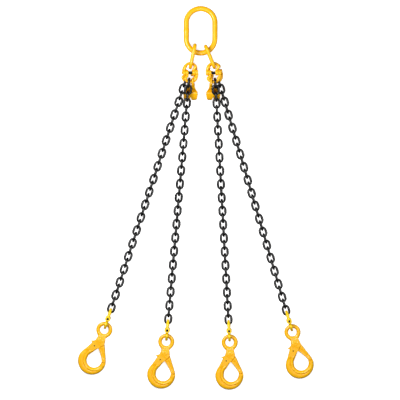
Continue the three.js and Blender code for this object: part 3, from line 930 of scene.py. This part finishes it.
def trigger_mesh():
    """A thin lever with a thumb spur above and a tail along the hook's back."""
    outline = [(-25.5, -57.5), (-31.5, -60), (-40.6, -62.9), (-41.2, -65.3), (-34.5, -68.5), (-35.6, -73.5)]
    outline += [(-44, -88), (-48.6, -96), (-46.6, -99.8), (-43, -102.6), (-37.5, -101), (-33, -98.6)]
    outline += [(-24.5, -90.5), (-15.5, -86), (-13.7, -80.5), (-13.8, -75.5), (-16, -70.5), (-19.5, -65.5)]
    smooth = smooth_line(outline, closed=True, steps=4)

    def everywhere(value):
        return lambda points: np.full(len(points), value)

    blank = forging([smooth], everywhere(TRIGGER_HALF_THICKNESS), everywhere(1.4), 1.3, rings=4)
    return machined(blank, drill(TRIGGER_PIN, TRIGGER_HOLE))


def cross_pin_mesh(name, end_profile, centre, material):
    """A pin along Z with both ends alike, from the (place, radius) pairs of one end."""
    profile = [(-place, radius) for place, radius in end_profile] + list(reversed(end_profile))
    shape = moved(lathe(profile, 32, axis_index=2), (*centre, 0))
    return mesh_from(name, *shape, material, sharp=35)


def latch_pin_mesh():
    """A rivet through the fork, with low domed heads, painted with the hook."""
    end = HOOK_HALF_THICKNESS + 1.5
    head = [
        (end, 0.4), (end - 0.1, 3.6), (end - 0.4, 6.2), (end - 0.9, 7.2),
        (end - 2.4, 7.4), (end - 2.4, 3.95),
    ]
    return cross_pin_mesh("latch_pin", head, LATCH_PIN, PAINT)


def trigger_pin_mesh():
    """A straight pin with chamfered ends, dimpled where it was set."""
    end = HOOK_HALF_THICKNESS - 0.6
    tip = [(end - 1.3, 0.3), (end - 1.1, 1.2), (end - 0.2, 1.9), (end, 2.4), (end - 0.6, 2.95)]
    return cross_pin_mesh("trigger_pin", tip, TRIGGER_PIN, STEEL)


def spring_mesh():
    """Two torsion coils on the trigger's pin, one each side of the lever, with legs along the slot."""
    coils = []
    for side in (-1, 1):
        path = []
        for t in np.linspace(0, 1, 40):
            turn = math.radians(SPRING["first_turn"] + SPRING["turns"] * 360 * t)
            height = side * (TRIGGER_HALF_THICKNESS + SPRING["clearance"] + SPRING["rise"] * t)
            path.append((SPRING["coil"] * math.cos(turn), SPRING["coil"] * math.sin(turn), height))
        first_leg = np.array(path[0]) + np.array([4.0, -0.5, 0])
        last_leg = np.array(path[-1]) + np.array([-5.5, 6.5, 0])
        path = np.array([first_leg, *path, last_leg])
        coils.append(moved(tube(path, SPRING["wire"], 8, closed=False), (*TRIGGER_PIN, 0)))
    return mesh_from("trigger_spring", *together(*coils), WIRE)


# ------------------------------------------------------------------ the sling


def add(name, mesh, place, body):
    """A piece with its own copy of a mesh, laid in its place, riding on a body."""
    mesh = mesh.copy()
    mesh.name = name
    mesh.transform(place)
    piece = bpy.data.objects.new(name, mesh)
    bpy.context.scene.collection.objects.link(piece)
    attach(piece, body)
    return piece


def stand_in(node, mesh, place):
    """A fine piece in place of a CAD node."""
    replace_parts(add(f"{node}_fine", mesh, place, body_of[node]), node)


def build_sling():
    """Every piece from the master link down. Alike pieces share one shape."""
    master = ring_mesh("master_link", MASTER, spacing=3.5, sides=32, weld_side=-1)
    stand_in("master_link", master, master_place())
    sub_link = ring_mesh("sub_link", SUB_LINK, spacing=3, sides=24, weld_side=1)
    for side in ("left", "right"):
        node = f"sub_link_{side}"
        stand_in(node, sub_link, sub_link_place(node))

    half, pin, grab = link_half_mesh(), link_pin_mesh(), grab_mesh()
    # The lower links get the lighter copy of the paint, which is painted light
    painted_light_half = half.copy()
    painted_light_half.materials[0] = PAINT_LIGHTENED
    hook, latch, trigger = hook_body_mesh(), latch_mesh(), trigger_mesh()
    latch_pin, trigger_pin, spring = latch_pin_mesh(), trigger_pin_mesh(), spring_mesh()
    turned = Matrix.Rotation(math.pi, 4, "Z")
    for number in LEGS:
        leg = f"leg_{number}"
        parts = (("upper", upper_link_place(leg), half), ("lower", lower_link_place(leg), painted_light_half))
        for part, place, bow in parts:
            link = f"{leg}_{part}_link"
            stand_in(f"{link}_top_half", bow, place)
            stand_in(f"{link}_bottom_half", bow, place @ turned)
            stand_in(f"{link}_pin", pin, place)
        stand_in(f"{leg}_grab_hook", grab, grab_place(leg))
        reach = (point(f"{leg}_chain_bend") - point(f"{leg}_chain_lift")).length / MM
        last_up = -reach + CHAIN["pitch"] / 2 - CHAIN["slack"]
        first_up = last_up + CHAIN["pitch"] * (CHAIN["links"] - 1)
        upper = chain_mesh(f"{leg}_chain_upper", first_up, SEED + number)
        lower = chain_mesh(f"{leg}_chain_lower", -CHAIN["pitch"] / 2, SEED + 10 * number)
        stand_in(f"{leg}_chain_upper", upper, upper_chain_place(leg))
        stand_in(f"{leg}_chain_lower", lower, lower_chain_place(leg))
        place = hook_place(leg)
        stand_in(f"{leg}_hook_body", hook, place)
        stand_in(f"{leg}_hook_latch", latch, place)
        stand_in(f"{leg}_hook_trigger", trigger, place)
        stand_in(f"{leg}_hook_latch_pin", latch_pin, place)
        stand_in(f"{leg}_hook_trigger_pin", trigger_pin, place)
        add(f"{leg}_trigger_spring", spring, place, f"{leg}_hook")


# ------------------------------------------------------------------ camera, floor and light

VIEW_WIDTH = 1.768  # of the floor that the picture takes in, in metres
VIEW_CENTRE = (0.0185, -0.0098)
LENS = 800  # so long that raised pieces are hardly moved by perspective
SENSOR = 36
CLIP_END = 200
FLOOR_HALF_WIDTH = 40
FLOOR_DROP = 0.0005  # keeps the floor clear of the pieces that lie on it
FLOOR_GLOW = 0.75


def build_camera():
    data = bpy.data.cameras.new("camera")
    data.lens = LENS
    data.sensor_width = SENSOR
    camera = bpy.data.objects.new("camera", data)
    bpy.context.scene.collection.objects.link(camera)
    camera.location = (*VIEW_CENTRE, VIEW_WIDTH * LENS / SENSOR)
    data.clip_end = CLIP_END
    bpy.context.scene.camera = camera


def build_floor():
    """A pale sheet that is seen by the camera but not in reflections, and throws no light on the pieces."""
    half = FLOOR_HALF_WIDTH
    corners = [(-half, -half, 0), (half, -half, 0), (half, half, 0), (-half, half, 0)]
    mesh = bpy.data.meshes.new("floor")
    mesh.from_pydata(corners, [], [(0, 1, 2, 3)])
    material, _, principled = shader("pale_floor", 0.9, 0.0)
    principled.inputs["Base Color"].default_value = (0.9, 0.9, 0.9, 1)
    principled.inputs["Specular IOR Level"].default_value = 0.1
    principled.inputs["Emission Color"].default_value = (1, 1, 1, 1)
    principled.inputs["Emission Strength"].default_value = FLOOR_GLOW
    mesh.materials.append(material)
    floor = bpy.data.objects.new("floor", mesh)
    floor.location.z = -FLOOR_DROP
    floor.visible_glossy = False
    floor.visible_diffuse = False
    bpy.context.scene.collection.objects.link(floor)


def softbox(name, place, size, power):
    """A square light aimed at the origin. The camera doesn't see it."""
    data = bpy.data.lights.new(name, "AREA")
    data.shape = "SQUARE"
    data.size = size
    data.energy = power
    light = bpy.data.objects.new(name, data)
    light.location = place
    light.rotation_euler = (-Vector(place)).to_track_quat("-Z", "Y").to_euler()
    light.visible_camera = False
    bpy.context.scene.collection.objects.link(light)


def build_light():
    softbox("key", place=(-1.5, 1.1, 2.6), size=1.2, power=90)
    softbox("fill", place=(2.2, 0.3, 2.0), size=1.8, power=28)
    softbox("top", place=(0.1, -0.2, 3.6), size=1.3, power=44)
    world = bpy.data.worlds.new("studio")
    world.use_nodes = True
    background = world.node_tree.nodes["Background"]
    background.inputs["Color"].default_value = (1, 1, 1, 1)
    background.inputs["Strength"].default_value = 0.14
    bpy.context.scene.world = world
    bpy.context.scene.view_settings.view_transform = "Standard"


build_camera()
build_floor()
build_light()
build_sling()
